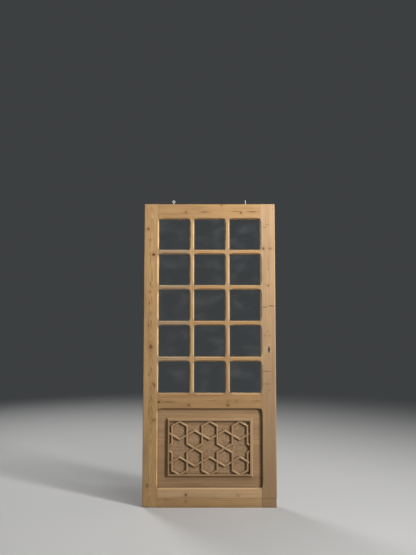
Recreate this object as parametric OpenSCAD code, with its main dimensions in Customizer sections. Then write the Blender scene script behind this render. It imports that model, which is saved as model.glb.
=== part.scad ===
// Glazed entry door leaf in pine: three by five panes over a solid lower panel, which
// carries an applied moulding and a strapwork of hexagons and six-pointed stars.
// The front faces -Y, the hinge edge is at -X, the lock edge at +X, and Z starts at the foot.

/* [Leaf] */
// Width of the leaf
leaf_w = 770; // [720:5:900]
// Height of the leaf
leaf_h = 1750; // [1650:10:2100]
// Thickness of the leaf
leaf_t = 35; // [33:1:45]
// Width of each stile
stile_w = 85; // [80:1:105]
// Height of the top rail
top_rail_h = 88; // [80:1:120]
// Height of the middle rail, between the glass and the panel
middle_rail_h = 90; // [80:1:140]
// Height of the bottom rail, with its foot strip
bottom_rail_h = 108; // [102:1:170]
// Height of the foot strip let in under the bottom rail and the lock stile
foot_h = 53; // [40:1:55]
// How far the lock stile's foot stands in from the lock edge
foot_inset = 3; // [0:0.5:6]

/* [Edges] */
// Chamfer on the front edges round every pane and the panel
chamfer = 6.5; // [3:0.5:8.5]
// Radius of the cutter that ran the chamfers out at their ends
runout_r = 90; // [40:5:150]
// Distance from the corner of an opening to the end of a chamfer
chamfer_stop = 2; // [1:0.5:10]
// Bevel on the front corner of the lock edge
lock_bevel = 4; // [1:0.5:7]
// Bevel on the front corner of the hinge edge
hinge_bevel = 2; // [1:0.5:5]
// Height worn off the outer corner of the hinge stile's foot
foot_wear = 6; // [1:0.5:10]
// Depth of the two nicks in the hinge edge
nick = 3; // [2:0.5:6]
// Height of the lower nick
nick_low_z = 625; // [560:1:640]
// Height of the upper nick
nick_high_z = 690; // [660:1:760]

/* [Glazing] */
// Width of the glazing bars on the front
bar_w = 25.5; // [24:0.5:36]
// Width of the rebate that the glass sits in
rebate_w = 8; // [6:0.5:9]
// From the front face back to the glass
glass_recess = 12; // [10:0.5:14]
// Thickness of the glass
glass_t = 3; // [2:0.5:5]
// Clearance round the edge of each pane
glass_gap = 1.5; // [0.5:0.1:2.5]
// Step from the back face in to the glazing beads
bead_step = 3; // [1:0.5:5]
// Bevel on the back edge of the glazing beads
bead_bevel = 3; // [1:0.5:4]
// Length of the stub tenons on the cross bars
cross_stub = 3.5; // [2:0.5:4]
// Length of the stub tenons on the upright bars
upright_stub = 12; // [6:1:20]

/* [Joints] */
// Thickness of the rails' tenons
tenon_t = 11; // [8:0.5:13]
// Height left above the top rail's tenon
haunch_h = 26; // [20:1:30]
// Depth of the haunch into the stile
haunch_d = 12; // [8:1:20]
// Length of the wedges in the tenons
wedge_l = 40; // [25:1:60]
// Thickness of a wedge at its outer end
wedge_t = 4; // [2:0.5:4]

/* [Panel] */
// Height of the panel's opening
panel_open_h = 445; // [400:1:500]
// Thickness of the panel board
board_t = 10; // [8:0.5:14]
// From the front face back to the panel board
board_recess = 14; // [12:0.5:17]
// Depth of the groove round the panel
groove_d = 10; // [8:0.5:14]
// Clearance round the edge of the board, in its groove
board_gap = 2; // [1:0.5:4]
// Margin from the panel's edge to the moulding, at the sides and the top
mould_margin = 50; // [35:1:60]
// Margin from the panel's edge to the moulding, at the foot
mould_foot_margin = 58; // [45:1:80]
// Width of the applied moulding
mould_w = 18; // [15:0.5:24]
// Height of the applied moulding
mould_h = 13; // [9:0.5:15]
// Width of the flat on the moulding's inner side
mould_flat = 8; // [5:0.5:10]
// Height at the foot of the step beside that flat
mould_low = 5.5; // [4:0.5:7]
// Width of that step
mould_step = 3; // [1:0.5:5]
// Height of the moulding's outer edge
mould_edge = 2; // [1:0.5:3.5]
// Length of the sides of the strapwork's hexagons
hex_side = 50.2; // [44:0.1:56]
// How far the middle of the strapwork lies below the middle of its field
lattice_drop = 4; // [0:0.5:8]
// Width of the straps
strap_w = 11; // [8:0.5:14]
// Height of the straps
strap_h = 9.5; // [5:0.5:11]
// Bevel on the front edges of the straps
strap_bevel = 2; // [1:0.5:3]

/* [Lock] */
// Distance from the lock edge to the keyhole
backset = 40; // [36:1:44]
// Height of the keyhole's round part
key_z = 899; // [870:1:930]
// Radius of the keyhole's round part in the wood
key_r = 5.5; // [4.5:0.5:6.5]
// Width of the keyhole's slot in the wood
key_slot_w = 6.5; // [5:0.5:8]
// Distance from the centre of the round part to the foot of the slot, in the wood
key_slot_h = 23; // [18:1:26]
// Radius of the keyhole's round part in the lock case
case_key_r = 3.5; // [2.5:0.25:4.5]
// Width of the keyhole's slot in the lock case
case_slot_w = 3.5; // [2.5:0.25:4.5]
// Distance from the centre of the round part to the foot of the slot, in the lock case
case_slot_h = 18; // [12:1:20]
// Depth of the lock case, from the forend in
case_d = 58; // [54:1:61]
// Height of the lock case
case_h = 100; // [92:1:120]
// Thickness of the lock case
case_t = 13; // [11:0.5:15]
// Wall of the lock case
case_wall = 1.5; // [1:0.1:2]
// Width of the forend
forend_w = 20; // [18:0.5:24]
// How far the forend reaches past the lock case, above and below
forend_ear = 20; // [16:1:30]
// Thickness of the forend
forend_t = 3; // [2:0.5:4]
// Height of the bolt
bolt_h = 18; // [14:1:20]
// How far the bolt is thrown, which the slot in its tail allows it
bolt_throw = 12; // [6:1:15]
// Radius of the stud in that slot
stud_r = 1.5; // [1:0.25:2]
// Running clearance round the bolt
bolt_gap = 0.3; // [0.2:0.05:0.5]
// Radius of the screws' heads in the forend
screw_head_r = 4; // [3:0.25:5]
// Radius of the screws' shanks
screw_r = 2; // [1.5:0.25:2.5]
// Length of the forend screws
screw_l = 25; // [16:1:32]

/* [Screw eyes] */
// Distance between the two eyes on the top edge
eye_spacing = 426; // [300:2:500]
// Height of an eye above the top edge
eye_h = 26; // [22:1:34]
// Outer radius of an eye's ring
eye_r = 8; // [7:0.5:10]
// Radius of the eye's wire
wire_r = 2; // [1.5:0.25:2.5]
// Radius of the collar at the foot of an eye
collar_r = 4.5; // [3:0.25:6]
// Height of the collar
collar_h = 3; // [2:0.5:5]
// Depth of an eye's shank in the top rail
shank_d = 24; // [16:1:30]

/* [Hidden] */
$fn = 48;

// Counts of panes, which the node names follow
pane_cols = 3;
pane_rows = 5;
col_names = ["left", "middle", "right"];

pine = [0.74, 0.58, 0.38];
pine_panel = [0.62, 0.49, 0.33];
pine_strap = [0.72, 0.58, 0.41];
clear_glass = [0.62, 0.72, 0.74, 0.45];
zinc = [0.78, 0.78, 0.76];
old_iron = [0.36, 0.34, 0.32];

// Amounts by which a cutter stands proud of what it cuts, and by which bores clear their pins
proud = 1;
bore_gap = 0.1;
mitre_gap = 0.15;

front_y = -leaf_t / 2;
back_y = leaf_t / 2;
open_w = leaf_w - 2 * stile_w;
open_x = open_w / 2;
edge_x = leaf_w / 2;

panel_z0 = bottom_rail_h;
panel_z1 = panel_z0 + panel_open_h;
glass_z0 = panel_z1 + middle_rail_h;
glass_z1 = leaf_h - top_rail_h;

pane_w = (open_w - (pane_cols - 1) * bar_w) / pane_cols;
pane_h = (glass_z1 - glass_z0 - (pane_rows - 1) * bar_w) / pane_rows;
rebate_y = front_y + glass_recess;
web_w = bar_w - 2 * rebate_w;
bead_h = leaf_t - glass_recess - glass_t - bead_step;
stub_t = 8;
socket_gap = 0.2;

board_y = front_y + board_recess;
mould_x = open_x - mould_margin;
field_x = mould_x - mould_w;
mould_z0 = panel_z0 + mould_foot_margin;
mould_z1 = panel_z1 - mould_margin;
field_h = mould_z1 - mould_z0 - 2 * mould_w;
field_z = (mould_z0 + mould_z1) / 2;

// The lattice: three hexagons stand above each other, and its middle is a row of crossings
lattice_z = field_z - lattice_drop;
star_pitch = 2 * sqrt(3) * hex_side;
star_reach = ceil(field_x / star_pitch);

// Tenons of the rails, as [foot, top]
top_tenon = [glass_z1 + rebate_w, leaf_h - haunch_h];
middle_tenon = [panel_z1 + groove_d, glass_z0 - rebate_w];
bottom_tenon = [foot_h + wedge_t + 3, panel_z0 - groove_d];

key_x = edge_x - backset;
forend_x = edge_x - forend_t;
case_x = forend_x - case_d;
case_z = key_z - 9;
cavity_t = case_t - 2 * case_wall;
bolt_t = cavity_t - 2 * bolt_gap;
bolt_z = key_z + 9;
bolt_x0 = case_x + case_wall + 2;
bolt_x1 = edge_x - 0.5;
rib_h = 4;
rib_l = 10;
talon_w = 14;
talon_h = bolt_h / 2;
tail_wall = 3;
guide_r = stud_r + bolt_gap;
stud_x = bolt_x0 + tail_wall + guide_r + bolt_throw;
stud_z = bolt_z + (talon_h + bolt_h) / 2;
forend_h = case_h + 2 * forend_ear;
screw_z = (case_h + forend_ear) / 2;
eye_ring_r = eye_r - wire_r;

function cross_bar_name(r, c) = str("cross_bar_", r, "_", col_names[c]);
function pane_name(r, c) = str("pane_", r, "_", col_names[c]);
function beads_name(r) = str("glazing_beads_", r);

// Rows count from the top, columns from the hinge side
function pane_x(c) = (c - (pane_cols - 1) / 2) * (pane_w + bar_w);
function pane_z(r) = glass_z1 - pane_h / 2 - (r - 1) * (pane_h + bar_w);
function cross_bar_z(r) = pane_z(r) - (pane_h + bar_w) / 2;
function upright_x(i) = (pane_x(i) + pane_x(i + 1)) / 2;

// A box from one corner to the other
module box(low, high) {
    translate(low) cube([for (i = [0 : 2]) high[i] - low[i]]);
}

// An outline in x and z, drawn as a plate from y0 back to y1
module plate(y0, y1, points) {
    translate([0, y1, 0]) rotate([90, 0, 0]) linear_extrude(y1 - y0) polygon(points);
}

// A straight rod along Y
module rod_y(x, z, r, y0, y1) {
    translate([x, y0, z]) rotate([-90, 0, 0]) cylinder(r = r, h = y1 - y0);
}

// A straight rod along X
module rod_x(z, r, x0, x1) {
    translate([x0, 0, z]) rotate([0, 90, 0]) cylinder(r = r, h = x1 - x0);
}

// The cutter of a stopped chamfer, centred on its edge, which runs along Z. The wood that it
// takes off faces -Y and +X, and each end runs out on the arc of a round cutter.
module stopped_chamfer(length) {
    depth = chamfer / sqrt(2);
    run = sqrt(runout_r * runout_r - (runout_r - depth) * (runout_r - depth));
    full = length / 2 - chamfer_stop - run;
    steps = 6;
    sweep = asin(run / runout_r);
    arc = [for (i = [0 : steps]) let (a = sweep * (1 - i / steps))
        [full + runout_r * sin(a), runout_r - depth - runout_r * cos(a)]];
    ends = [[full + run, proud], [-full - run, proud]];
    points = concat([ends[0]], arc, [for (i = [steps : -1 : 0]) [-arc[i][0], arc[i][1]]],
        [ends[1]]);
    rotate([0, 0, -135]) rotate([0, -90, 0])
        linear_extrude(2 * chamfer, center = true) polygon(points);
}

// A stopped chamfer on the front, with its middle at x and z, for an opening that lies
// to the right (0), below (90), to the left (180) or above (270)
module edge_chamfer(x, z, toward, length) {
    translate([x, front_y, z]) rotate([0, toward, 0]) stopped_chamfer(length);
}

// A straight strip along X with its outer edge on the X axis, mitred at both ends. It stands
// up towards -Y, and its section is given as [distance inwards, height].
module mitred_strip(length, width, section) {
    tall = max([for (p = section) p[1]]);
    intersection() {
        rotate([90, 0, 90]) linear_extrude(length, center = true)
            polygon([for (p = section) [-p[1], -p[0]]]);
        plate(-tall - proud, proud, [[-length / 2, 0], [length / 2, 0],
            [length / 2 - width, -width], [width - length / 2, -width]]);
    }
}

// The outline of a mortise through a stile of the lock side, flared for its wedges
module mortise(tenon) {
    flare_x = edge_x - wedge_l;
    plate(rebate_y, rebate_y + tenon_t, [
        [open_x - proud, tenon[0]], [flare_x, tenon[0]],
        [edge_x, tenon[0] - wedge_t], [edge_x + proud, tenon[0] - wedge_t],
        [edge_x + proud, tenon[1] + wedge_t], [edge_x, tenon[1] + wedge_t],
        [flare_x, tenon[1]], [open_x - proud, tenon[1]]]);
}

// The two wedges of one tenon, at the lock side
module wedge_pair(tenon) {
    flare_x = edge_x - wedge_l;
    plate(rebate_y, rebate_y + tenon_t,
        [[flare_x, tenon[0]], [edge_x, tenon[0] - wedge_t], [edge_x, tenon[0]]]);
    plate(rebate_y, rebate_y + tenon_t,
        [[flare_x, tenon[1]], [edge_x, tenon[1]], [edge_x, tenon[1] + wedge_t]]);
}

// One stile from z0 up, drawn at the lock side, with the bevel of its outer corner
module stile(z0, bevel) {
    difference() {
        box([open_x, front_y, z0], [edge_x, back_y, leaf_h]);
        // rebate for the glass
        box([open_x - proud, rebate_y, glass_z0 - rebate_w],
            [open_x + rebate_w, back_y + proud, glass_z1 + rebate_w]);
        // sockets for the cross bars
        for (r = [1 : pane_rows - 1])
            box([open_x, rebate_y, cross_bar_z(r) - web_w / 2],
                [open_x + rebate_w + cross_stub + socket_gap, rebate_y + stub_t,
                 cross_bar_z(r) + web_w / 2]);
        // groove for the panel
        box([open_x - proud, board_y, panel_z0 - groove_d],
            [open_x + groove_d, board_y + board_t, panel_z1 + groove_d]);
        mortise(top_tenon);
        mortise(middle_tenon);
        mortise(bottom_tenon);
        // socket for the top rail's haunch
        box([open_x - proud, rebate_y, top_tenon[1] - proud],
            [open_x + haunch_d, rebate_y + tenon_t, leaf_h + proud]);
        // chamfers round the panes and the panel
        for (r = [1 : pane_rows]) edge_chamfer(open_x, pane_z(r), 180, pane_h);
        edge_chamfer(open_x, (panel_z0 + panel_z1) / 2, 180, panel_open_h);
        translate([edge_x, front_y, 0]) rotate([0, 0, 45])
            cube([bevel * sqrt(2), bevel * sqrt(2), 2 * leaf_h + 2 * proud], center = true);
    }
}

module hinge_stile() {
    color(pine) difference() {
        mirror([1, 0, 0]) stile(0, hinge_bevel);
        plate(front_y - proud, back_y + proud, [[-edge_x - proud, -proud],
            [-open_x - 5, -proud], [-open_x - 5, 0], [-edge_x - proud, foot_wear]]);
        for (z = [nick_low_z, nick_high_z])
            translate([-edge_x, front_y, z]) rotate([0, 45, 45])
                cube([nick * 2, nick * 1.6, nick * 2], center = true);
    }
}

// The outline of a keyhole as a solid, from y0 back to y1: the radius of its round part, the
// radius of its slot's foot, and how far below the round part's centre the slot reaches
module keyhole(r, slot_r, reach, y0, y1) {
    slot_z = key_z - reach + slot_r;
    rod_y(key_x, key_z, r, y0, y1);
    box([key_x - slot_r, y0, slot_z], [key_x + slot_r, y1, key_z]);
    rod_y(key_x, slot_z, slot_r, y0, y1);
}

module case_keyhole(y0, y1) {
    keyhole(case_key_r, case_slot_w / 2, case_slot_h, y0, y1);
}

module lock_stile() {
    pocket_gap = 0.5;
    color(pine) difference() {
        stile(foot_h, lock_bevel);
        keyhole(key_r, key_slot_w / 2, key_slot_h, front_y - proud, back_y + proud);
        // wear above the keyhole, where keys have slipped
        translate([key_x - 5, front_y - 12, key_z + 4]) sphere(r = 14);
        // pocket for the lock case, and the recess for its forend
        box([case_x - pocket_gap, -case_t / 2 - pocket_gap, case_z - case_h / 2 - pocket_gap],
            [forend_x + proud, case_t / 2 + pocket_gap, case_z + case_h / 2 + pocket_gap]);
        box([forend_x, -forend_w / 2, case_z - forend_h / 2],
            [edge_x + proud, forend_w / 2, case_z + forend_h / 2]);
        for (side = [-1, 1])
            rod_x(case_z + side * screw_z, screw_r + bore_gap, edge_x - screw_l - proud, edge_x);
    }
}

module lock_stile_foot() {
    color(pine) box([open_x, front_y, 0], [edge_x - foot_inset, back_y, foot_h]);
}

// A rail between the stiles from z0 to z1, with a tenon at each end
module rail(z0, z1, tenon) {
    box([-open_x, front_y, z0], [open_x, back_y, z1]);
    box([-edge_x, rebate_y, tenon[0]], [edge_x, rebate_y + tenon_t, tenon[1]]);
}

// The rebate for the glass, along a rail, from z0 to z1
module rail_rebate(z0, z1) {
    box([-open_x - proud, rebate_y, z0], [open_x + proud, back_y + proud, z1]);
}

// The sockets of the upright bars in a rail, from z0 to z1
module upright_sockets(z0, z1) {
    for (i = [0, 1])
        box([upright_x(i) - web_w / 2, rebate_y, z0],
            [upright_x(i) + web_w / 2, rebate_y + stub_t, z1]);
}

module top_rail() {
    color(pine) difference() {
        union() {
            rail(glass_z1, leaf_h, top_tenon);
            box([-open_x - haunch_d, rebate_y, top_tenon[1]],
                [open_x + haunch_d, rebate_y + tenon_t, leaf_h]);
        }
        rail_rebate(glass_z1 - proud, glass_z1 + rebate_w);
        upright_sockets(glass_z1, glass_z1 + rebate_w + upright_stub + socket_gap);
        for (c = [0 : pane_cols - 1]) edge_chamfer(pane_x(c), glass_z1, 90, pane_w);
        for (side = [-1, 1])
            translate([side * eye_spacing / 2, 0, leaf_h - shank_d - proud])
                cylinder(r = wire_r + bore_gap, h = shank_d + 2 * proud);
    }
}

module middle_rail() {
    color(pine) difference() {
        rail(panel_z1, glass_z0, middle_tenon);
        rail_rebate(glass_z0 - rebate_w, glass_z0 + proud);
        upright_sockets(glass_z0 - rebate_w - upright_stub - socket_gap, glass_z0);
        box([-open_x - proud, board_y, panel_z1 - proud],
            [open_x + proud, board_y + board_t, panel_z1 + groove_d]);
        for (c = [0 : pane_cols - 1]) edge_chamfer(pane_x(c), glass_z0, 270, pane_w);
        edge_chamfer(0, panel_z1, 90, open_w);
    }
}

module bottom_rail() {
    color(pine) difference() {
        rail(foot_h, panel_z0, bottom_tenon);
        box([-open_x - proud, board_y, panel_z0 - groove_d],
            [open_x + proud, board_y + board_t, panel_z0 + proud]);
        edge_chamfer(0, panel_z0, 270, open_w);
    }
}

module bottom_rail_foot() {
    color(pine) box([-open_x, front_y, 0], [open_x, back_y, foot_h]);
}

// The wedges of the through tenons, in both stiles
module tenon_wedges() {
    color(pine_strap) for (side = [0, 1]) mirror([side, 0, 0])
        for (tenon = [top_tenon, middle_tenon, bottom_tenon]) wedge_pair(tenon);
}

// Upright glazing bar i: a face with a web behind it, which takes the cross bars' stubs
module upright_bar(i) {
    x = upright_x(i);
    stub = rebate_w + upright_stub;
    color(pine) difference() {
        union() {
            box([x - bar_w / 2, front_y, glass_z0], [x + bar_w / 2, rebate_y, glass_z1]);
            box([x - web_w / 2, rebate_y, glass_z0 - rebate_w],
                [x + web_w / 2, back_y, glass_z1 + rebate_w]);
            box([x - web_w / 2, rebate_y, glass_z0 - stub],
                [x + web_w / 2, rebate_y + stub_t, glass_z1 + stub]);
        }
        for (r = [1 : pane_rows - 1], side = [-1, 1])
            translate([x + side * web_w / 2, rebate_y + stub_t / 2, cross_bar_z(r)])
                cube([2 * (cross_stub + socket_gap), stub_t, web_w], center = true);
        for (r = [1 : pane_rows]) {
            edge_chamfer(x - bar_w / 2, pane_z(r), 180, pane_h);
            edge_chamfer(x + bar_w / 2, pane_z(r), 0, pane_h);
        }
    }
}

// The cross bar under pane r of column c
module cross_bar(r, c) {
    x = pane_x(c);
    z = cross_bar_z(r);
    half = pane_w / 2;
    color(pine) difference() {
        union() {
            box([x - half, front_y, z - bar_w / 2], [x + half, rebate_y, z + bar_w / 2]);
            box([x - half - rebate_w, rebate_y, z - web_w / 2],
                [x + half + rebate_w, back_y, z + web_w / 2]);
            box([x - half - rebate_w - cross_stub, rebate_y, z - web_w / 2],
                [x + half + rebate_w + cross_stub, rebate_y + stub_t, z + web_w / 2]);
        }
        edge_chamfer(x, z - bar_w / 2, 90, pane_w);
        edge_chamfer(x, z + bar_w / 2, 270, pane_w);
    }
}

// The glass of row r, column c
module pane(r, c) {
    reach = rebate_w - glass_gap;
    color(clear_glass) translate([pane_x(c), rebate_y + glass_t / 2, pane_z(r)])
        cube([pane_w + 2 * reach, glass_t, pane_h + 2 * reach], center = true);
}

// The mitred beads behind the panes of row r
module glazing_beads(r) {
    section = [[0, 0], [0, bead_h], [rebate_w - bead_bevel, bead_h],
        [rebate_w, bead_h - bead_bevel], [rebate_w, 0]];
    wide = pane_w + 2 * rebate_w;
    tall = pane_h + 2 * rebate_w;
    color(pine) for (c = [0 : pane_cols - 1])
        translate([pane_x(c), rebate_y + glass_t, pane_z(r)]) mirror([0, 1, 0])
            for (side = [0 : 3]) {
                long = side % 2 == 0 ? wide : tall;
                out = side % 2 == 0 ? tall : wide;
                rotate([0, 90 * side, 0]) translate([0, 0, out / 2])
                    mitred_strip(long - 2 * mitre_gap, rebate_w, section);
            }
}

// The board of the lower panel, which floats in the grooves round it
module panel_board() {
    reach = groove_d - board_gap;
    color(pine_panel) box([-open_x - reach, board_y, panel_z0 - reach],
        [open_x + reach, board_y + board_t, panel_z1 + reach]);
}

// One side of the applied moulding: 0 top, 1 right, 2 foot, 3 left
module moulding(side) {
    section = [[0, 0], [0, mould_edge], [mould_w - mould_flat - mould_step, mould_low],
        [mould_w - mould_flat, mould_h], [mould_w, mould_h], [mould_w, 0]];
    long = side % 2 == 0 ? 2 * mould_x : mould_z1 - mould_z0;
    out = side % 2 == 0 ? (mould_z1 - mould_z0) / 2 : mould_x;
    color(pine_strap) translate([0, board_y, field_z]) rotate([0, 90 * side, 0])
        translate([0, 0, out]) mitred_strip(long, mould_w, section);
}

// A bar of strapwork two hexagon sides long, flat on the board, its middle at [x, z]. It is
// turned up from +X by turn, its ends are mitred for a corner of 120 degrees, and lean tells
// to which side. It is halved where it crosses the other strap, in front of it or behind.
module strap(mid, turn, lean, in_front) {
    half = strap_w / 2;
    slip = lean * half * tan(30);
    outline = [[slip - hex_side, -half], [slip + hex_side, -half],
        [hex_side - slip, half], [-hex_side - slip, half]];
    section = [[0, -half], [0, half], [strap_bevel - strap_h, half],
        [-strap_h, half - strap_bevel], [-strap_h, strap_bevel - half],
        [strap_bevel - strap_h, -half]];
    lap_y = in_front ? [-strap_h / 2, proud] : [-strap_h - proud, -strap_h / 2];
    translate([mid[0], board_y, mid[1]]) rotate([0, -turn, 0]) difference() {
        intersection() {
            plate(-strap_h, 0, outline);
            rotate([90, 0, 90]) linear_extrude(2 * hex_side + 2 * strap_w, center = true)
                polygon(section);
        }
        rotate([0, lean * 60, 0])
            box([-2 * strap_w, lap_y[0], -half], [2 * strap_w, lap_y[1], half]);
    }
}

// All straps that run at one angle, in the field inside the moulding. Each point of a star
// is a crossing of two straps, 30 degrees to either side of the point's own direction.
module strap_family(turn) {
    tip_x = sqrt(3) / 2 * hex_side;
    tip_z = 1.5 * hex_side;
    crossings = [[tip_x, tip_z, 60], [-tip_x, -tip_z, 60], [-tip_x, tip_z, 120],
        [tip_x, -tip_z, 120], [2 * tip_x, 0, 0], [0, 2 * tip_z, 0], [0, -2 * tip_z, 0]];
    reach = field_x + hex_side * abs(cos(turn)) + strap_w / 2;
    // falling straps cross over all others, and uprights cross over rising ones
    crosses_over = turn == 90 ? [60] : turn == 150 ? [0, 120] : [];
    color(pine_strap) intersection() {
        box([-field_x, board_y - strap_h, field_z - field_h / 2],
            [field_x, board_y, field_z + field_h / 2]);
        union() for (i = [-star_reach : star_reach], p = crossings, lean = [-1, 1]) {
            x = i * star_pitch + p[0];
            if (abs(x) < reach && (p[2] + lean * 30 + 180) % 180 == turn)
                strap([x, lattice_z + p[1]], turn, lean, len(search(p[2], crosses_over)) > 0);
        }
    }
}

// The lock case: a tray that is open towards the front, with two ribs and a stud that guide
// the bolt
module lock_case() {
    z0 = case_z - case_h / 2;
    z1 = case_z + case_h / 2;
    rib_z = [bolt_z - bolt_gap - rib_h, bolt_z + bolt_h + bolt_gap];
    color(old_iron) difference() {
        union() {
            difference() {
                box([case_x, case_wall - case_t / 2, z0], [forend_x, case_t / 2, z1]);
                box([case_x + case_wall, -case_t, z0 + case_wall],
                    [forend_x - case_wall, cavity_t / 2, z1 - case_wall]);
            }
            box([forend_x - rib_l, -cavity_t / 2, rib_z[0]],
                [forend_x - case_wall, case_t / 2, rib_z[0] + rib_h]);
            box([case_x + case_wall, -cavity_t / 2, rib_z[1]],
                [forend_x - case_wall, case_t / 2, rib_z[1] + rib_h]);
            rod_y(stud_x, stud_z, stud_r, -cavity_t / 2, (case_t - case_wall) / 2);
        }
        bolt_way();
        case_keyhole(0, case_t);
    }
}

// The way that the bolt slides out through the case's edge and the forend
module bolt_way() {
    box([forend_x - 2 * case_wall, -cavity_t / 2, bolt_z - bolt_gap],
        [edge_x + proud, cavity_t / 2, bolt_z + bolt_h + bolt_gap]);
}

// The front cheek, which closes the lock case
module lock_cap() {
    color(old_iron) difference() {
        box([case_x, -case_t / 2, case_z - case_h / 2],
            [forend_x, case_wall - case_t / 2, case_z + case_h / 2]);
        case_keyhole(-case_t, 0);
    }
}

// The bolt, drawn back, with the notch that the key's bit works in and the slot in its tail
module lock_bolt() {
    color(zinc) difference() {
        box([bolt_x0, -bolt_t / 2, bolt_z], [bolt_x1, bolt_t / 2, bolt_z + bolt_h]);
        box([key_x - talon_w / 2, -bolt_t, bolt_z - proud],
            [key_x + talon_w / 2, bolt_t, bolt_z + talon_h]);
        box([stud_x - bolt_throw, -bolt_t, stud_z - guide_r],
            [stud_x, bolt_t, stud_z + guide_r]);
        for (x = [stud_x - bolt_throw, stud_x]) rod_y(x, stud_z, guide_r, -bolt_t, bolt_t);
    }
}

// One countersunk screw head and shank along X, with its face on the lock edge
module forend_screw(gap) {
    slope = screw_head_r - screw_r;
    translate([edge_x - slope, 0, 0]) rotate([0, 90, 0])
        cylinder(r1 = screw_r + gap, r2 = screw_head_r + gap, h = slope);
    rod_x(0, screw_r + gap, edge_x - screw_l, edge_x - slope);
}

module lock_forend() {
    color(old_iron) difference() {
        box([forend_x, -forend_w / 2, case_z - forend_h / 2],
            [edge_x, forend_w / 2, case_z + forend_h / 2]);
        bolt_way();
        for (side = [-1, 1]) translate([0, 0, case_z + side * screw_z]) forend_screw(bore_gap);
    }
}

module forend_screws() {
    color(old_iron) for (side = [-1, 1])
        translate([0, 0, case_z + side * screw_z]) forend_screw(0);
}

// A screw eye in the top edge, at x, with its ring turned about Z
module screw_eye(x, turn) {
    ring_z = eye_h - eye_r;
    color(zinc) translate([x, 0, leaf_h]) rotate([0, 0, turn]) {
        translate([0, 0, ring_z]) rotate([90, 0, 0])
            rotate_extrude() translate([eye_ring_r, 0]) circle(r = wire_r);
        translate([0, 0, -shank_d]) cylinder(r = wire_r, h = shank_d + ring_z - eye_ring_r);
        cylinder(r = collar_r, h = collar_h);
    }
}

hinge_stile();
lock_stile();
lock_stile_foot();
top_rail();
middle_rail();
bottom_rail();
bottom_rail_foot();
upright_bar(0);  // upright_bar_left
upright_bar(1);  // upright_bar_right
for (r = [1 : pane_rows - 1], c = [0 : pane_cols - 1])
    cross_bar(r, c);
for (r = [1 : pane_rows], c = [0 : pane_cols - 1])
    pane(r, c);
for (r = [1 : pane_rows])
    glazing_beads(r);
panel_board();
moulding(0);  // moulding_top
moulding(2);  // moulding_foot
moulding(3);  // moulding_left
moulding(1);  // moulding_right
strap_family(90);  // strap_uprights
strap_family(30);  // strap_rising
strap_family(150);  // strap_falling
tenon_wedges();
lock_case();
lock_cap();
lock_bolt();
lock_forend();
forend_screws();
screw_eye(-eye_spacing / 2, 0);  // screw_eye_left
screw_eye(eye_spacing / 2, 90);  // screw_eye_right
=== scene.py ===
import math
from collections import namedtuple

import bpy
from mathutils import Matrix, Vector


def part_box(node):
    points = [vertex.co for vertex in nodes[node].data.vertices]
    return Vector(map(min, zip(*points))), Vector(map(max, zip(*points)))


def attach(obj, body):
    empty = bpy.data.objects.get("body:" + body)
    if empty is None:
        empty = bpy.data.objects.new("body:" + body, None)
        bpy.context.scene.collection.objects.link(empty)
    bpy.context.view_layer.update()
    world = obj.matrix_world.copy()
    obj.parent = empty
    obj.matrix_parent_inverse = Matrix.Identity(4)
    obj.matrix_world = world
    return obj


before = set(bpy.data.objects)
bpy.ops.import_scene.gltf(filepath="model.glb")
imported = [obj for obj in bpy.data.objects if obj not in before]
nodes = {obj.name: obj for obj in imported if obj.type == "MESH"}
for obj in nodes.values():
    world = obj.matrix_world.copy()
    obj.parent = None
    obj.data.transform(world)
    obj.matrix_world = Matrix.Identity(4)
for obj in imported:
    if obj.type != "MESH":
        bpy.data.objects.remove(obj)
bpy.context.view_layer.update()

MM = 0.001

# View: the camera stands before the middle of the leaf and looks up a little
EYE = (-0.0092, -3.2371, 1.0841)
PITCH = math.radians(4.098)
FOCAL_PX = 550
FRAME_HEIGHT_PX = 555
SENSOR = 36

# Stage
FLOOR_RADIUS = 40
FLOOR_SIDES = 96
FLOOR_FADE = (0.9, 5.0)
FLOOR_DROP = 0.3 * MM
FLOOR_TONE = (0.6, 0.595, 0.585, 1.0)
FLOOR_BOUNCE = (0.2, 0.2, 0.2, 1.0)
BACKDROP_TONE = (0.047, 0.0505, 0.0525, 1.0)
FILL_TONE = (0.96, 0.98, 1.0, 1.0)
FILL_STRENGTH = 0.09

# Lamps, each as place, target, width and power
KEY_LAMP = ((6.1, -3.9, 3.1), (0.0, 0.0, 0.7), 0.9, 425)
SOFT_LAMP = ((2.6, -3.6, 4.2), (0.0, 0.0, 0.8), 3.2, 56)
TOP_LAMP = ((1.2, -1.1, 2.6), (0.0, 0.0, 1.3), 0.5, 20)
BACK_LAMP = ((-3.4, 4.6, 3.2), (0.0, 0.0, 0.85), 2.4, 190)


def ink(red, green, blue):
    """A display colour from 0 to 255 as a linear colour."""
    linear = [(c / 255 + 0.055) / 1.055 for c in (red, green, blue)]
    return (*[c ** 2.4 for c in linear], 1.0)


# Tones of wood, each as early wood and late wood
HONEY = (ink(216, 177, 124), ink(169, 125, 76))
STRAW = (ink(208, 173, 131), ink(173, 136, 95))
CREAM = (ink(210, 174, 126), ink(170, 131, 84))
AMBER = (ink(203, 163, 113), ink(162, 118, 70))
ROSE = (ink(185, 157, 123), ink(152, 120, 89))
UMBER = (ink(186, 152, 113), ink(150, 116, 80))
BISCUIT = (ink(194, 160, 119), ink(160, 123, 86))
# A lighter copy of BISCUIT: painted light for the falling straps, whose bevels catch more light
BISCUIT_PAINTED_LIT = (ink(208, 174, 132), ink(174, 137, 98))

KNOT_CORE = ink(116, 76, 46)
KNOT_RIM = ink(58, 38, 24)
RESIN = ink(140, 92, 48)
STAIN = ink(96, 64, 38)
# Dirt in the joints, and in inner corners dirt together with painted shade
DIRT_AND_SHADE = ink(74, 54, 36)
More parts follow.
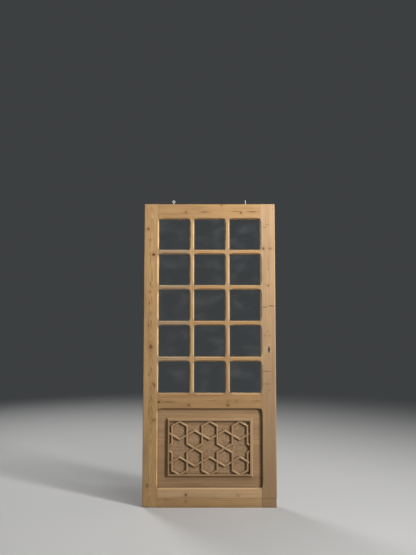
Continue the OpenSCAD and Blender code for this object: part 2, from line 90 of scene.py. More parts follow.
# Soil towards the foot, which also serves as painted shade where the light falls off downwards
SOIL_AND_SHADE = ink(112, 85, 59)
WAX = ink(146, 84, 38)
MOTTLE = ink(198, 166, 130)
# Bare rubbed wood, also laid on the arrises as a painted highlight
BARE_AND_HIGHLIGHT = ink(232, 204, 162)

# How a board was cut from its log: how far to the side of its middle and how far behind its
# face the pith lies, the gap between two rings and how far they wander, in millimetres, and
# how strongly the rings show
Cut = namedtuple("Cut", "side behind ring_gap wander strength")
FLAT_CUT = Cut(0, 36, 2.1, 26, 0.5)
RIFT_CUT = Cut(125, 52, 2.6, 16, 0.36)
RAIL_CUT = Cut(70, 45, 2.4, 14, 0.42)
PANEL_CUT = Cut(30, 90, 2.8, 40, 0.5)

# How much nearer the pith comes along a board, how far its rings waver and ripple, and by how
# many gaps their spacing varies
TAPER = 0.02
WAVER = 4 * MM
RIPPLE = 0.6 * MM
UNEVEN_RINGS = 1.6

# Angles of the grain, in degrees up from +X
LEVEL = 0
UPRIGHT = 90
RISING = 30
FALLING = 150

# Patterns in the wood, each with a number of its own, its waves a metre along and across the
# grain, and its detail
PATTERNS = {
    "sway": (0, 0.8, 0, 2),
    "waver": (1, 2.4, 22, 2),
    "ripple": (2, 9, 160, 2),
    "ring_width": (3, 90, 0, 2),
    "fibre": (4, 30, 900, 2),
    "blotch": (5, 2.2, 12, 2),
    "patches": (6, 3.5, 22, 4),
    "swell": (7, 1.1, 0, 2),
    "ducts": (8, 22, 420, 2),
    "speckle": (9, 190, 190, 4),
    "rubbed": (10, 26, 70, 2),
    "streak": (11, 1.6, 150, 3),
    "fleck": (12, 16, 190, 2),
    "freckle": (13, 9, 30, 2),
    "chafed": (14, 170, 110, 2),
}

# Knots: how fast the bend of the rings round them fades, how far they push the rings, as a
# share of their own half width, and how many rings lie within that; and how fast marks fade
KNOT_FADE = 0.2
KNOT_PUSH = 0.6
KNOT_RINGS = 3.3
MARK_FADE = 0.9

# Age: the height at which the soil and painted shade would be full, small dents a metre, the
# soft edge of the pitted field, how far dirt reaches beside a seam, and how far dirt and
# painted shade reach out of a corner
SOIL_AND_SHADE_FULL = -0.2
DENTS_PER_METRE = 42
FIELD_EDGE = 4 * MM
SEAM_REACH = 1.9 * MM
SEAM_CORE = 0.4 * MM
CORNER_REACH = 16 * MM

# Surfaces: the radius of the arrises, the depth of the relief, and how many samples find an
# arris or a corner
WOOD_ARRIS = 1.1 * MM
METAL_ARRIS = 0.4 * MM
WOOD_RELIEF = 0.35 * MM
METAL_RELIEF = 0.12 * MM
GLASS_WAVE = 1.0 * MM
ARRIS_SAMPLES = 4
CORNER_SAMPLES = 6

# Pins in the glazing beads and the moulding: two along each bead, at a share of the pane's
# side to each side of its middle, and in from the pane's edge; how far the middle of the
# moulding's flat lies in from its edge; and where its pins are, as shares of half its width
# and of its height
PIN_SPREAD = 0.31
PIN_INSET = 1.0 * MM
PIN_RADIUS = 0.9 * MM
PIN_HEIGHT = 0.5 * MM
PIN_SIDES = 10
PIN_CROWN = 0.6
FLAT_MIDDLE = 4.0 * MM
PINS_ACROSS = (-0.7, -0.24, 0.24, 0.7)
PINS_UP = (0.22, 0.5, 0.78)

# The panes, from the top down and from the hinge edge to the lock edge
PANE_ROWS = 5
PANE_COLUMNS = ("left", "middle", "right")

# Knots and marks seen on the front, as (x, z, half width, half height, strength), in mm
HINGE_STILE_KNOTS = [
    (-362, 1602, 8, 9, 0.7), (-350, 1536, 4, 7, 0.5), (-329, 1450, 9, 8, 0.95),
    (-348, 1278, 5, 8, 0.5), (-350, 1230, 4, 7, 0.45), (-353, 1167, 4, 9, 0.5),
    (-351, 1110, 4, 7, 0.45), (-356, 1035, 5, 8, 0.5), (-342, 911, 10, 13, 0.7),
    (-327, 699, 6, 6, 0.6), (-319, 688, 6, 9, 0.6), (-321, 491, 9, 9, 0.55),
    (-357, 123, 9, 11, 0.55),
]
HINGE_STILE_MARKS = [
    (-352, 750, 4, 9, 0.6), (-351, 540, 3, 34, 0.6), (-353, 596, 3, 22, 0.35),
    (-366, 1690, 3, 40, 0.35), (-384, 525, 4, 5, 0.5), (-346, 1420, 3, 26, 0.35),
    (-352, 1500, 3, 18, 0.4),
]
LOCK_STILE_KNOTS = [
    (316, 1486, 8, 8, 0.8), (358, 1486, 11, 7, 0.42), (343, 1268, 7, 6, 0.6),
]
LOCK_STILE_MARKS = [
    (322, 1141, 13, 3, 0.85), (361, 1148, 16, 3.5, 0.8), (344, 1397, 3, 40, 0.4),
    (344, 1365, 4, 6, 0.5), (324, 1612, 10, 3, 0.6), (340, 1628, 10, 3, 0.6),
    (337, 1001, 4, 5, 0.5), (323, 976, 5, 5, 0.5), (348, 975, 5, 5, 0.55),
    (330, 769, 26, 3, 0.6), (330, 697, 20, 3, 0.55), (345, 660, 9, 5, 0.3),
    # The last two marks paint shade into and round the keyhole, so that it reads dark
    (345, 907, 3.5, 6, 0.85), (345, 893, 6, 11, 0.95),
]
LOCK_STILE_SCUFFS = [
    (327, 903, 8, 14, 0.4), (346, 926, 9, 7, 0.45), (332, 880, 11, 12, 0.4),
    (356, 884, 4, 14, 0.4), (306, 862, 5, 22, 0.5), (307, 815, 5, 16, 0.5),
]
TOP_RAIL_KNOTS = [(-139, 1702, 7, 6, 0.65), (71, 1744, 6, 6, 0.55), (185, 1698, 6, 6, 0.8)]
TOP_RAIL_MARKS = [
    (-30, 1703, 26, 3.2, 0.9), (157, 1706, 26, 3, 0.6), (253, 1704, 26, 3.2, 0.95),
]
MIDDLE_RAIL_KNOTS = [
    (-293, 594, 8, 7, 0.85), (-121, 575, 9, 8, 0.6), (105, 575, 9, 8, 0.7),
    (105, 598, 6, 4, 0.5), (155, 598, 5, 5, 0.5),
]
MIDDLE_RAIL_MARKS = [
    (-237, 595, 36, 3, 0.75), (20, 601, 30, 3, 0.35), (270, 600, 16, 3, 0.35),
]
BOTTOM_RAIL_KNOTS = [(-136, 71, 7, 7, 0.85), (162, 66, 10, 7, 0.3)]
BOTTOM_FOOT_KNOTS = [(-136, 34, 5, 9, 0.55)]
BOTTOM_FOOT_MARKS = [(-250, 40, 6, 6, 0.35), (30, 49, 30, 2.5, 0.35)]


class Wire:
    """An output socket. Arithmetic on it adds Math nodes."""

    def __init__(self, finish, socket):
        self.finish = finish
        self.socket = socket

    def __add__(self, other):
        return self.finish.math("ADD", self, other)

    def __radd__(self, other):
        return self.finish.math("ADD", other, self)

    def __sub__(self, other):
        return self.finish.math("SUBTRACT", self, other)

    def __rsub__(self, other):
        return self.finish.math("SUBTRACT", other, self)

    def __mul__(self, other):
        return self.finish.math("MULTIPLY", self, other)

    def __rmul__(self, other):
        return self.finish.math("MULTIPLY", other, self)

    def __truediv__(self, other):
        return self.finish.math("DIVIDE", self, other)

    def __pow__(self, other):
        return self.finish.math("POWER", self, other)

    def __abs__(self):
        return self.finish.math("ABSOLUTE", self)


class Finish:
    """The nodes of a material or of the world."""

    def __init__(self, owner):
        owner.use_nodes = True
        self.owner = owner
        self.tree = owner.node_tree
        self.tree.nodes.clear()

    def node(self, kind, settings=None, inputs=None, output=0):
        """Adds any node, makes its settings, and sets or links its sockets."""
        made = self.tree.nodes.new("ShaderNode" + kind)
        for key, value in (settings or {}).items():
            setattr(made, key, value)
        for key, value in (inputs or {}).items():
            if isinstance(value, Wire):
                self.tree.links.new(value.socket, made.inputs[key])
            else:
                made.inputs[key].default_value = value
        return Wire(self, made.outputs[output])

    def math(self, operation, *values):
        """One Math node."""
        return self.node("Math", {"operation": operation}, dict(enumerate(values)))

    def ease(self, value, low, high):
        """0 below low and 1 above high, with a soft step between; low may be above high."""
        return self.node("MapRange", {"interpolation_type": "SMOOTHSTEP"},
                         {"Value": value, "From Min": low, "From Max": high})

    def mix(self, share, under, over):
        """The colour under, with a share of the colour over it."""
        return self.node("Mix", {"data_type": "RGBA"}, {0: share, 6: under, 7: over}, 2)

    def shade(self, colour, light):
        """A colour times a number."""
        return self.node("VectorMath", {"operation": "SCALE"}, {0: colour, "Scale": light})

    def axes(self, vector):
        """The three numbers of a vector."""
        parts = self.node("SeparateXYZ", {}, {0: vector})
        return [Wire(self, socket) for socket in parts.socket.node.outputs]

    def place(self):
        """A point's place in the leaf, as its x, y and z."""
        return self.axes(self.node("TexCoord", output="Object"))

    def noise(self, place, per_metre, seed, detail=2):
        """Noise from 0 to 1 at a place of three numbers, at so many waves a metre each way."""
        scaled = [p * n + seed for p, n in zip(place, per_metre)]
        vector = self.node("CombineXYZ", {}, dict(enumerate(scaled)))
        return self.node("TexNoise", {}, {"Vector": vector, "Scale": 1.0, "Detail": detail})

    def seen(self):
        """1 for what the camera sees, directly, mirrored or through glass."""
        rays = self.node("LightPath").socket.node.outputs
        seen = Wire(self, rays["Is Camera Ray"])
        for kind in ("Is Glossy Ray", "Is Transmission Ray"):
            seen = self.math("MAXIMUM", seen, Wire(self, rays[kind]))
        return seen

    def surface(self, shader, kind="Material"):
        """Ends the nodes in a shader, and gives back what they belong to."""
        last = self.tree.nodes.new("ShaderNodeOutput" + kind)
        self.tree.links.new(shader.socket, last.inputs["Surface"])
        return self.owner


def new_finish(name):
    """The empty finish of a new material."""
    return Finish(bpy.data.materials.new(name))


def grain_axes(x, z, along):
    """Along and across the grain, which lies at an angle in degrees up from +X."""
    c = math.cos(math.radians(along))
    s = math.sin(math.radians(along))
    return x * c + z * s, z * c - x * s


class Wood(Finish):
    """The finish of a board, laid on coat by coat. x, y and z are a point's place in the leaf,
    and u and v its place along and across the grain."""

    def __init__(self, name, seed):
        super().__init__(bpy.data.materials.new(name))
        self.seed = seed
        self.x, self.y, self.z = self.place()

    def lie_straight(self, at, along):
        """One board, with its middle at a place and its grain at an angle."""
        self.u, self.v = grain_axes(self.x, self.z, along)
        self.middle_u, self.middle_v = grain_axes(at[0], at[1], along)

    def lie_mitred(self, pitch, middle_z):
        """Small frames, a pitch apart, whose sides each have their own grain."""
        inside_x = self.math("WRAP", self.x, pitch / 2, -pitch / 2)
        upright = self.math("GREATER_THAN", abs(inside_x), abs(self.z - middle_z))
        self.u = self.z * upright + self.x * (1 - upright)
        self.v = self.x * upright + self.z * (1 - upright)
        self.middle_u, self.middle_v = 0.0, 0.0

    def pattern(self, name, *place):
        """One of PATTERNS, from 0 to 1, along the grain unless another place is given."""
        number, along, across, detail = PATTERNS[name]
        return self.noise(place or (self.u, self.v, self.y), (along, across, across),
                          self.seed + number, detail)

    def lay(self, share, tone):
        """Lays a share of a tone over the colour so far."""
        self.colour = self.mix(share, self.colour, tone)

    def spread(self, spot_x, spot_z, half_x, half_z):
        """The square of the distance from a spot's middle, in its own half width and height."""
        far_x = (self.x - spot_x * MM) / (half_x * MM)
        far_z = (self.z - spot_z * MM) / (half_z * MM)
        return far_x * far_x + far_z * far_z

    def spots(self, spots):
        """Spots that fade out from their middles, where they are as strong as they say."""
        strength = 0.0
        for *shape, middle_strength in spots:
            fade = self.math("EXPONENT", self.spread(*shape) * -MARK_FADE)
            strength = self.math("MAXIMUM", strength, fade * middle_strength)
        return strength

    def pith_distance(self, cut):
        """The distance from the pith, which wanders along the board."""
        sway = (self.pattern("sway") - 0.5) * (cut.wander * 2 * MM)
        swell = (self.pattern("swell") - 0.5) * (cut.wander * 1.6 * MM)
        across = self.v - (self.middle_v + cut.side * MM) - sway
        behind = self.y - cut.behind * MM - (self.u - self.middle_u) * TAPER - swell
        radius = (across * across + behind * behind) ** 0.5
        radius += (self.pattern("waver") - 0.5) * WAVER
        return radius + (self.pattern("ripple") - 0.5) * RIPPLE

    def grow_round(self, knots, radius):
        """Bends the rings round the knots, and keeps how far the nearest knot is, in its own
        half size, and how strong the knots and the resin round them are."""
        self.near, self.core, self.resin = 9.0, 0.0, 0.0
        for knot_x, knot_z, half_x, half_z, strength in knots:
            spread = self.spread(knot_x, knot_z, half_x, half_z)
            around = self.math("EXPONENT", spread * -KNOT_FADE)
            radius += around * (half_x * KNOT_PUSH * MM)
            far = spread ** 0.5
            self.near = self.math("MINIMUM", self.near, far)
            core = self.ease(far, 1.35, 0.55) * strength
            self.core = self.math("MAXIMUM", self.core, core)
            self.resin = self.math("MAXIMUM", self.resin, around * strength)
        return radius

    def late_wood(self, radius, cut):
        """Growth rings of uneven width: a slow rise to late wood, then a sharp edge."""
        uneven = self.pattern("ring_width", radius, self.v, self.y)
        phase = self.math("FRACT", radius / (cut.ring_gap * MM) + uneven * UNEVEN_RINGS)
        return self.ease(phase, 0.25, 0.9) * self.ease(phase, 1.0, 0.93)

    def lay_grain(self, late, cut, tone, fibre, blotch):
        """The board's own colour, with its rings, streaks and flecks."""
        streak = self.ease(self.pattern("streak"), 0.3, 0.8)
        grain = late * cut.strength + streak * 0.45
        light = 0.7 + fibre * 0.2 + blotch * 0.18 + self.pattern("fleck") * 0.28
        self.colour = self.shade(self.mix(grain, *tone), light)

    def lay_age(self, patches, patina, soil, soil_tone, tone):
        """Dark patches, a darkening towards the foot that is partly soil and partly painted
        shade, and the wood's resin ducts.
        """
        soil_from, soil_share = soil
        self.lay(patches * patina, STAIN)
        # Painted shade: darker towards the foot, partly soil and partly shade for the light
        # falling off downwards
        self.lay(self.ease(self.z, soil_from, SOIL_AND_SHADE_FULL) * soil_share, soil_tone)
        self.lay(self.ease(self.pattern("ducts"), 0.66, 0.76) * 0.22, tone[1])

    def lay_knots(self):
        """Resin round the knots, and each knot with rings of its own and a dark rim."""
        self.lay(self.resin * 0.35, RESIN)
        rings = self.ease(self.math("FRACT", self.near * KNOT_RINGS), 0.3, 0.9)
        rim = self.ease(self.near, 0.7, 0.95) * self.ease(self.near, 1.3, 1.0)
        knot = self.mix(rings * 0.6, KNOT_CORE, KNOT_RIM)
        self.lay(self.core, self.mix(rim, knot, KNOT_RIM))

    def lay_scuffs(self, scuffs):
        """Rough places, rubbed pale."""
        chafed = self.ease(self.pattern("chafed", self.x, self.z, self.y), 0.4, 0.6)
        self.lay(self.spots(scuffs) * chafed, BARE_AND_HIGHLIGHT)

    def lay_freckles(self, dent, freckles):
        """Small dents, dark in some places and not in others."""
        here = self.ease(self.pattern("freckle"), 0.42, 0.6)
        self.lay(self.ease(dent, 0.15, 0.06) * here * freckles, STAIN)

    def lay_field(self, half_width, foot, top, back):
        """A pitted and mottled field on the front. Gives how pitted each point is."""
        inside = self.ease(abs(self.x), half_width, half_width - FIELD_EDGE)
        inside = inside * self.ease(self.z, foot, foot + FIELD_EDGE)
        inside = inside * self.ease(self.z, top, top - FIELD_EDGE)
        inside = inside * self.math("LESS_THAN", self.y, back)
        speckle = self.pattern("speckle", self.x, self.z, self.y)
        pitted = inside * self.ease(speckle, 0.43, 0.62)
        self.lay(inside * 0.34, STAIN)
        self.lay(pitted * 0.68, MOTTLE)
        return pitted

    def lay_end_grain(self, along):
        """End grain drinks the wax and is darker."""
        normal_x, _, normal_z = self.axes(self.node("TexCoord", output="Normal"))
        facing = abs(grain_axes(normal_x, normal_z, along)[0])
        self.lay(self.ease(facing, 0.75, 0.95) * 0.38, STAIN)

    def lay_seams(self, seams):
        """Dirt in the joints."""
        for axis, position in seams:
            gap = abs((self.x, self.y, self.z)[axis] - position)
            self.lay(self.ease(gap, SEAM_REACH, SEAM_CORE) * 0.8, DIRT_AND_SHADE)

    def lay_wear(self, soft_normal, wear):
        """Worn arrises are paler, partly wear and partly a painted highlight, and inner
        corners are darker, partly dirt and partly painted shade.
        """
        true_normal = self.node("NewGeometry", output="Normal")
        likeness = self.node("VectorMath", {"operation": "DOT_PRODUCT"},
                             {0: true_normal, 1: soft_normal}, "Value")
        arris = self.ease(likeness, 0.992, 0.88)
        rubbed = self.ease(self.pattern("rubbed"), 0.35, 0.65)
        # Painted highlight: the arrises are paled, partly for wear and partly as a highlight
        # along edges that catch the light
        self.lay(arris * (0.2 + rubbed * 0.5) * wear, BARE_AND_HIGHLIGHT)
        # Painted shade: inner corners and creases are darkened by how enclosed they are, partly
        # dirt and partly the shade that falls there
        open_air = self.node("AmbientOcclusion", {"samples": CORNER_SAMPLES},
                             {"Distance": CORNER_REACH}, "AO")
        self.lay(self.ease(open_air, 0.94, 0.18) * 0.74, DIRT_AND_SHADE)


def pine(name, at, along, tone, seed, cut=RAIL_CUT, knots=(), marks=(), scuffs=(), seams=(),
         freckles=0.0, patina=0.25, soil=(1.5, 0.34), soil_tone=SOIL_AND_SHADE, wear=0.45, field=None,
         mitred=None):
    """Old waxed pine. at is the board's middle in x and z, in metres, and along the angle of
    its grain. Knots, marks and scuffs are spots in millimetres, as (x, z, half width, half
    height, strength): the grain flows round knots, marks are dark and scuffs are pale. seams
    are joints with dirt in them, as the axis, 0 for x or 2 for z, and the place on it.
    freckles, patina and wear say how strong dark dents, dark patches and pale
    arrises are; the pale arrises are partly wear and partly a painted highlight.
    soil is the height from which the wood darkens downwards, in metres, and how much;
    the darkening is partly soil and partly painted shade. field is a region, (half width, foot,
    top, back) in metres, where the front is pitted. mitred gives the pitch and the middle height
    of small frames, which show no end grain."""
    wood = Wood(name, seed)
    if mitred:
        wood.lie_mitred(*mitred)
    else:
        wood.lie_straight(at, along)
    late = wood.late_wood(wood.grow_round(knots, wood.pith_distance(cut)), cut)
    fibre = wood.pattern("fibre")
    blotch = wood.pattern("blotch")
    patches = wood.ease(wood.pattern("patches"), 0.45, 0.75)
    smear = wood.spots(marks)
    dent = wood.node("TexVoronoi", {}, {"Scale": DENTS_PER_METRE}, "Distance")
    soft_normal = wood.node("Bevel", {"samples": ARRIS_SAMPLES}, {"Radius": WOOD_ARRIS})
    pitted = 0.0

    wood.lay_grain(late, cut, tone, fibre, blotch)
    wood.lay_age(patches, patina, soil, soil_tone, tone)
    if knots:
        wood.lay_knots()
    if scuffs:
        wood.lay_scuffs(scuffs)
    if marks:
        wood.lay(smear, STAIN)
    if freckles:
        wood.lay_freckles(dent, freckles)
    if field:
        pitted = wood.lay_field(*field)
    if not mitred:
        wood.lay_end_grain(along)
    wood.lay_seams(seams)
    wood.lay_wear(soft_normal, wear)

    height = late * 0.5 + fibre * 0.35 + blotch * 0.3 - smear * 0.8 + pitted * 0.6
    height = height - wood.ease(dent, 0.2, 0.05) * 0.8
    bump = wood.node("Bump", {}, {"Strength": 0.4, "Distance": WOOD_RELIEF, "Height": height,
                                  "Normal": soft_normal})
    return wood.surface(wood.node("BsdfPrincipled", {}, {
        "Base Color": wood.colour,
        "Roughness": 0.5 + fibre * 0.18 + patches * 0.08,
        "Specular IOR Level": 0.32,
        "Normal": bump,
    }))


def window_glass(name, middle, size, seed):
    """Clear float glass, a little dusty towards the edge of the pane."""
    f = new_finish(name)
    x, y, z = f.place()
    rim_x = abs(x - middle[0]) / (size[0] / 2)
    rim_z = abs(z - middle[1]) / (size[1] / 2)
    rim = f.ease(f.math("MAXIMUM", rim_x, rim_z), 0.86, 1.0)
    cloud = f.noise((x, y, z), (9, 9, 14), seed, 4)
    wipe = f.noise((x + z * 0.6, y, z - x * 0.6), (6, 6, 120), seed + 1, 3)
    dust = f.ease(cloud, 0.45, 0.85) * 0.03 + f.ease(wipe, 0.55, 0.8) * 0.02 + rim * 0.07
    wave = f.noise((x, y, z), (5, 5, 5), seed + 2)
    bump = f.node("Bump", {}, {"Strength": 0.25, "Distance": GLASS_WAVE, "Height": wave})
    pane = f.node("BsdfPrincipled", {}, {
        "Base Color": (0.955, 0.975, 0.968, 1.0),
        "Roughness": 0.01 + dust * 0.3,
        "IOR": 1.5,
        "Transmission Weight": 1.0,
        "Normal": bump,
    })
    film = f.node("BsdfPrincipled", {}, {"Base Color": ink(206, 206, 198), "Roughness": 0.9})
    dusty = f.node("MixShader", {}, {0: dust, 1: pane, 2: film})
    lamp_ray = f.node("LightPath", output="Is Shadow Ray")
    clear = f.node("BsdfTransparent", {}, {"Color": (0.9, 0.93, 0.92, 1.0)})
    return f.surface(f.node("MixShader", {}, {0: lamp_ray, 1: dusty, 2: clear}))


def metal(name, bright, dull, seed, share, roughness, plating):
    """A metal with a share of dull bloom or rust on its bright ground. plating is how metallic
    the bloom still is."""
    f = new_finish(name)
    place = f.place()
    bloom = f.ease(f.noise(place, (240, 240, 240), seed, 4), 0.62 - share, 0.78 - share)
    scratch = f.noise(place, (2600, 2600, 300), seed + 1)
    soft_normal = f.node("Bevel", {"samples": ARRIS_SAMPLES}, {"Radius": METAL_ARRIS})
    bump = f.node("Bump", {}, {"Strength": 0.3, "Distance": METAL_RELIEF,
                               "Height": bloom * 0.7 + scratch * 0.3, "Normal": soft_normal})
    return f.surface(f.node("BsdfPrincipled", {}, {
        "Base Color": f.mix(bloom, bright, dull),
        "Metallic": 1 - bloom * (1 - plating),
        "Roughness": roughness + bloom * 0.3 + scratch * 0.1,
        "Normal": bump,
    }))


def new_object(name, data):
    """A new object, put in the scene."""
    made = bpy.data.objects.new(name, data)
    bpy.context.scene.collection.objects.link(made)
    return made


def dress(node, material):
    """Gives a CAD node a material in every slot it has."""
    piece = nodes[node]
    if not piece.material_slots:
        piece.data.materials.append(material)
    for slot in piece.material_slots:
        slot.material = material


def middle_of(node):
    """The middle of a CAD node, in x and z."""
    low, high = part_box(node)
    return (low.x + high.x) / 2, (low.z + high.z) / 2


def dress_board(node, along, tone, seed, **looks):
    """Dresses a CAD node in a piece of pine of its own."""
    dress(node, pine(node + "_pine", middle_of(node), along, tone, seed, **looks))


def dress_leaf():
    """The stiles, the rails and the upright bars."""
    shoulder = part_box("bottom_rail_foot")[1].x
    foot_seam = (2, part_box("bottom_rail_foot")[1].z)
    ends = ((0, -shoulder), (0, shoulder))
    dress_board("hinge_stile", UPRIGHT, HONEY, 11, cut=FLAT_CUT, knots=HINGE_STILE_KNOTS,
                marks=HINGE_STILE_MARKS, freckles=0.6, soil=(1.5, 0.38), wear=0.16)
    dress_board("lock_stile", UPRIGHT, STRAW, 23, cut=RIFT_CUT, knots=LOCK_STILE_KNOTS,
                marks=LOCK_STILE_MARKS, scuffs=LOCK_STILE_SCUFFS, seams=(foot_seam,),
                patina=0.12, soil=(1.55, 0.6))
    dress_board("lock_stile_foot", LEVEL, STRAW, 37, seams=(foot_seam, ends[1]), soil=(1.5, 0.6))
    dress_board("top_rail", LEVEL, AMBER, 41, knots=TOP_RAIL_KNOTS, marks=TOP_RAIL_MARKS,
                seams=ends)
    dress_board("middle_rail", LEVEL, AMBER, 53, knots=MIDDLE_RAIL_KNOTS,
                marks=MIDDLE_RAIL_MARKS, seams=ends, freckles=0.4, patina=0.14)
    dress_board("bottom_rail", LEVEL, STRAW, 67, knots=BOTTOM_RAIL_KNOTS,
                seams=(foot_seam, *ends), patina=0.15, soil=(1.5, 0.07))
    dress_board("bottom_rail_foot", LEVEL, HONEY, 71, knots=BOTTOM_FOOT_KNOTS,
                marks=BOTTOM_FOOT_MARKS, seams=(foot_seam, *ends))
    dress_board("upright_bar_left", UPRIGHT, HONEY, 83, patina=0.1, wear=0.08)
    dress_board("upright_bar_right", UPRIGHT, CREAM, 89, patina=0.1, soil=(1.5, 0.72),
                soil_tone=WAX, wear=0.08)
    dress_board("tenon_wedges", LEVEL, HONEY, 97)


def dress_glazing():
    """The cross bars, the beads and the glass."""
    seed = 100
    pitch = middle_of("pane_1_right")[0] - middle_of("pane_1_middle")[0]
    for row in range(1, PANE_ROWS + 1):
        for column in PANE_COLUMNS:
            seed += 7
            pane = f"pane_{row}_{column}"
            low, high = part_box(pane)
            size = (high.x - low.x, high.z - low.z)
            dress(pane, window_glass(pane + "_glass", middle_of(pane), size, seed))
            bar = f"cross_bar_{row}_{column}"
            if bar in nodes:
                tone = ROSE if column == "left" else AMBER
                dress_board(bar, LEVEL, tone, seed, patina=0.1, wear=0.16)
        beads = f"glazing_beads_{row}"
        dress_board(beads, LEVEL, HONEY, seed + 3, mitred=(pitch, middle_of(beads)[1]))


def dress_panel():
    """The board, the moulding and the strapwork."""
    low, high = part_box("panel_board")
    field = (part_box("moulding_right")[0].x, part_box("moulding_foot")[1].z,
             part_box("moulding_top")[0].z, (low.y + high.y) / 2)
    # The panel board is darker towards its foot mostly as painted shade, for the stronger light
    # on its top
    dress_board("panel_board", LEVEL, UMBER, 211, cut=PANEL_CUT, soil=(0.6, 0.42), field=field)
    applied = [
        ("moulding_top", LEVEL, UMBER, 0.4),
        ("moulding_foot", LEVEL, UMBER, 0.4),
        ("moulding_left", UPRIGHT, UMBER, 0.4),
        ("moulding_right", UPRIGHT, UMBER, 0.4),
        # The straps' arrises are paled more, as a painted highlight
        ("strap_uprights", UPRIGHT, BISCUIT, 0.6),
        ("strap_rising", RISING, BISCUIT, 0.6),
        # Painted light: the falling straps get a lighter copy of the other straps' tone
        ("strap_falling", FALLING, BISCUIT_PAINTED_LIT, 0.6),
    ]
    for seed, (node, along, tone, wear) in enumerate(applied, start=221):
        dress_board(node, along, tone, seed * 3, patina=0.15, soil=(0.75, 0.3), wear=wear)


def dress_metal():
    """The screw eyes and the lock."""
    zinc = metal("zinc_plate", ink(222, 222, 218), ink(240, 240, 234), seed=5, share=0.3,
                 roughness=0.4, plating=0.1)
    steel = metal("aged_steel", ink(156, 152, 144), ink(92, 66, 48), seed=6, share=0.08,
                  roughness=0.42, plating=0.1)
    black = metal("blackened_steel", ink(58, 55, 52), ink(70, 48, 34), seed=9, share=0.1,
                  roughness=0.5, plating=0.1)
    brass = metal("worn_brass", ink(214, 178, 108), ink(160, 130, 80), seed=7, share=0.15,
                  roughness=0.34, plating=0.4)
    for node in ("screw_eye_left", "screw_eye_right"):
        dress(node, zinc)
    for node in ("lock_case", "lock_cap"):
        dress(node, black)
    for node in ("lock_forend", "forend_screws"):
        dress(node, steel)
    dress("lock_bolt", brass)


def pin_tree(name, facing, material):
    """Geometry Nodes that set a small round head on every spot. The heads face the front (-1)
    or the back (1). Gives the tree and the identifiers of its two sizes."""
    tree = bpy.data.node_groups.new(name + "_tree", "GeometryNodeTree")
    face = tree.interface
    face.new_socket("Spots", in_out="INPUT", socket_type="NodeSocketGeometry")
    sizes = [face.new_socket(label, in_out="INPUT", socket_type="NodeSocketFloat").identifier
             for label in ("Head radius", "Head height")]
    face.new_socket("Heads", in_out="OUTPUT", socket_type="NodeSocketGeometry")

    def node(kind, settings=None, links=None):
        made = tree.nodes.new(kind)
        for key, value in (settings or {}).items():
            made.inputs[key].default_value = value
        for key, source in (links or {}).items():
            tree.links.new(source, made.inputs[key])
        return made

    given = node("NodeGroupInput").outputs
    crown = node("ShaderNodeMath", {1: PIN_CROWN}, {0: given["Head radius"]})
    crown.operation = "MULTIPLY"
    head = node("GeometryNodeMeshCone", {"Vertices": PIN_SIDES},
                {"Radius Bottom": given["Head radius"], "Radius Top": crown.outputs[0],
                 "Depth": given["Head height"]})
    turned = node("GeometryNodeTransform", {"Rotation": (-facing * math.pi / 2, 0, 0)},
                  {"Geometry": head.outputs["Mesh"]})
    placed = node("GeometryNodeInstanceOnPoints", {},
                  {"Points": given["Spots"], "Instance": turned.outputs["Geometry"]})
    real = node("GeometryNodeRealizeInstances", {}, {"Geometry": placed.outputs["Instances"]})
    painted = node("GeometryNodeSetMaterial", {"Material": material},
                   {"Geometry": real.outputs["Geometry"]})
    node("NodeGroupOutput", {}, {"Heads": painted.outputs["Geometry"]})
    return tree, sizes


def pin_heads(name, spots, facing, material):
    """The heads of pins at the spots, as a plain mesh that rides on the leaf."""
    tree, sizes = pin_tree(name, facing, material)
    mesh = bpy.data.meshes.new(name)
    mesh.from_pydata(spots, [], [])
    heads = new_object(name, mesh)
    growth = heads.modifiers.new(name, "NODES")
    growth.node_group = tree
    for identifier, size in zip(sizes, (PIN_RADIUS, PIN_HEIGHT)):
        growth[identifier] = size
    seen = heads.evaluated_get(bpy.context.evaluated_depsgraph_get())
    finished = bpy.data.meshes.new_from_object(seen)
    heads.modifiers.remove(growth)
    heads.data = finished
    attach(heads, "leaf")


def bead_pin_spots():
    """Two spots on each bead, on the back of the leaf."""
    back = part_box("glazing_beads_1")[1].y
    spots = []
    for node in nodes:
        if not node.startswith("pane_"):
            continue
        low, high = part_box(node)
        middle_x, middle_z = middle_of(node)
        for share in (-PIN_SPREAD, PIN_SPREAD):
            x = middle_x + share * (high.x - low.x)
            z = middle_z + share * (high.z - low.z)
            spots += [(x, back, low.z + PIN_INSET), (x, back, high.z - PIN_INSET),
                      (low.x + PIN_INSET, back, z), (high.x - PIN_INSET, back, z)]
    return spots


def moulding_pin_spots():
    """Spots along the flat of the moulding, on the front."""
    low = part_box("moulding_left")[0]
    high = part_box("moulding_right")[1]
    inner_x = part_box("moulding_right")[0].x + FLAT_MIDDLE
    inner_z = (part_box("moulding_foot")[1].z - FLAT_MIDDLE,
               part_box("moulding_top")[0].z + FLAT_MIDDLE)
    spots = [(share * high.x, low.y, z) for share in PINS_ACROSS for z in inner_z]
    spots += [(side * inner_x, low.y, low.z + share * (high.z - low.z))
              for share in PINS_UP for side in (-1, 1)]
    return spots


def add_pins():
    """The heads of the pins that hold the glazing beads and the moulding."""
    steel = metal("pin_steel", ink(112, 106, 98), ink(78, 56, 42), seed=8, share=0.2,
                  roughness=0.5, plating=0.1)
    pin_heads("bead_pins", bead_pin_spots(), 1, steel)
    pin_heads("moulding_pins", moulding_pin_spots(), -1, steel)


def make_camera():
    """The camera of the photograph's view."""
    data = bpy.data.cameras.new("camera")
    data.sensor_width = SENSOR
    data.lens = SENSOR * FOCAL_PX / FRAME_HEIGHT_PX
    camera = new_object("camera", data)
    camera.location = EYE
    camera.rotation_euler = (math.pi / 2 + PITCH, 0, 0)
    bpy.context.scene.camera = camera


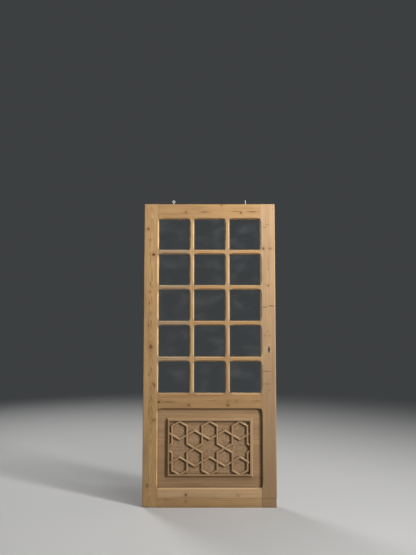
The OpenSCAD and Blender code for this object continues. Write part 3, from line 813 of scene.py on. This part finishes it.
def make_stage():
    """A pale floor that fades into the backdrop. It throws little light up at the leaf."""
    turns = [i * math.tau / FLOOR_SIDES for i in range(FLOOR_SIDES)]
    corners = [(FLOOR_RADIUS * math.cos(turn), FLOOR_RADIUS * math.sin(turn), -FLOOR_DROP)
               for turn in turns]
    mesh = bpy.data.meshes.new("floor")
    mesh.from_pydata(corners, [], [list(range(FLOOR_SIDES))])
    floor = new_object("floor", mesh)

    f = new_finish("floor_paint")
    x, y, _ = f.place()
    far = f.ease((x * x + y * y) ** 0.5, *FLOOR_FADE)
    seen = f.seen()
    paint = f.node("BsdfPrincipled", {}, {
        "Base Color": f.mix(seen, FLOOR_BOUNCE, FLOOR_TONE),
        "Roughness": 0.75,
        "Specular IOR Level": 0.2,
    })
    glow = f.node("Emission", {}, {"Color": BACKDROP_TONE, "Strength": 1.0})
    mesh.materials.append(f.surface(f.node("MixShader", {}, {0: far * seen, 1: paint, 2: glow})))


def make_world():
    """Soft light from all round, with a plain dark backdrop behind what is seen."""
    world = bpy.data.worlds.new("studio")
    f = Finish(world)
    fill = f.node("Background", {}, {"Color": FILL_TONE, "Strength": FILL_STRENGTH})
    backdrop = f.node("Background", {}, {"Color": BACKDROP_TONE})
    f.surface(f.node("MixShader", {}, {0: f.seen(), 1: fill, 2: backdrop}), "World")
    bpy.context.scene.world = world


def make_lamp(name, place, target, width, power):
    """A round soft lamp that points at its target."""
    data = bpy.data.lights.new(name, "AREA")
    data.shape = "DISK"
    data.size = width
    data.energy = power
    lamp = new_object(name, data)
    aim = [t - p for t, p in zip(target, place)]
    lamp.location = place
    tilt = math.acos(-aim[2] / math.hypot(*aim))
    lamp.rotation_euler = (tilt, 0, math.atan2(aim[1], aim[0]) - math.pi / 2)
    lamp.visible_camera = False
    lamp.visible_transmission = False


make_camera()
make_stage()
make_world()
make_lamp("key_lamp", *KEY_LAMP)
make_lamp("soft_lamp", *SOFT_LAMP)
make_lamp("top_lamp", *TOP_LAMP)
make_lamp("back_lamp", *BACK_LAMP)
bpy.context.scene.view_settings.view_transform = "Standard"

dress_leaf()
dress_glazing()
dress_panel()
dress_metal()
add_pins()
